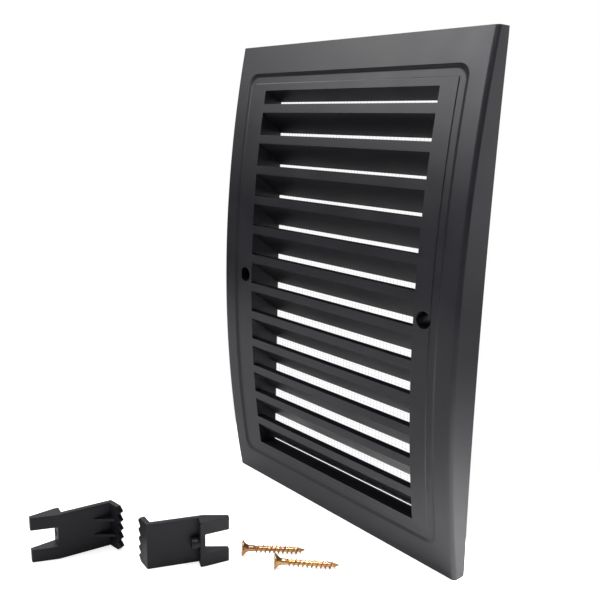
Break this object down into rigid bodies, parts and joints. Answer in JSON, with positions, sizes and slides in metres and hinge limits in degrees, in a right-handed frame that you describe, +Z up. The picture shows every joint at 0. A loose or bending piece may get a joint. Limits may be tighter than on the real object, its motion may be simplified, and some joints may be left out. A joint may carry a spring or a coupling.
{
  "type": "louvred air grille",
  "caption": "Bowed rectangular wall vent grille with fixed sloping louvres and an insect net, with its toothed plastic fixing clips and countersunk screws lying loose in front of it",
  "frame": {"origin": "Middle of the lower edge of the back, where the grille meets the wall; Z = 0 is also the plane that the lower edge and the loose kit stand on", "axes": "+X to the right and +Z up as seen from in front, +Y into the wall; the louvred face looks towards -Y"},
  "size_m": [0.166, 0.1536, 0.25],
  "materials": {
    "face_plastic": "satin anthracite moulded ABS with a fine grain",
    "net_nylon": "pale nylon insect net",
    "clip_plastic": "black moulded plastic",
    "yellow_zinc": "yellow zinc plated steel"
  },
  "bodies": {
    "grille": {"face_grille": "face_plastic", "insect_net": "net_nylon"},
    "clip_a": {"fixing_clip_a": "clip_plastic"},
    "clip_b": {"fixing_clip_b": "clip_plastic"},
    "screw_a": {"fixing_screw_a": "yellow_zinc"},
    "screw_b": {"fixing_screw_b": "yellow_zinc"}
  },
  "joints": [
    {"name": "clip_a_lift", "type": "slide", "parent": "grille", "child": "clip_a", "axis": [0, 0, 1], "range_m": [0, 0.1]},
    {"name": "clip_b_lift", "type": "slide", "parent": "grille", "child": "clip_b", "axis": [0, 0, 1], "range_m": [0, 0.1]},
    {"name": "screw_a_lift", "type": "slide", "parent": "grille", "child": "screw_a", "axis": [0, 0, 1], "range_m": [0, 0.1]},
    {"name": "screw_b_lift", "type": "slide", "parent": "grille", "child": "screw_b", "axis": [0, 0, 1], "range_m": [0, 0.1]}
  ]
}
